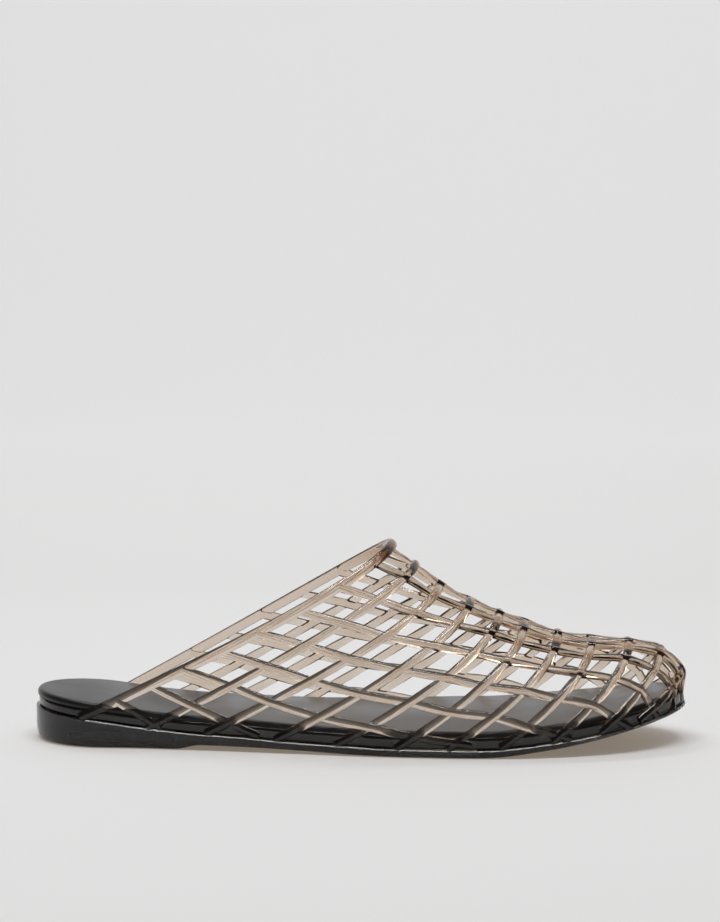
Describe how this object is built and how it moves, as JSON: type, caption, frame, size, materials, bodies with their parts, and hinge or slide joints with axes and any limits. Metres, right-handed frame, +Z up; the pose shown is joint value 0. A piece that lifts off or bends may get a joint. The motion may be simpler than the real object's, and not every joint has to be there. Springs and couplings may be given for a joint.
{
  "type": "mule sandal",
  "caption": "Backless slip-on sandal of clear moulded plastic: low-heeled outsole, woven-look net upper with a collar band, and a padded insole.",
  "frame": {"origin": "centre of the shoe's box at floor level", "axes": "+X towards the toe, +Y towards the inner side of the right foot, +Z up from the floor"},
  "size_m": [0.262, 0.0934, 0.0807],
  "materials": {
    "outsole": "dark smoke clear moulded plastic, glossy",
    "upper": "smoke taupe clear moulded plastic, glossy",
    "insole": "glossy black coated pad"
  },
  "bodies": {
    "root": {"outsole": "outsole", "upper": "upper", "insole": "insole"}
  },
  "joints": []
}
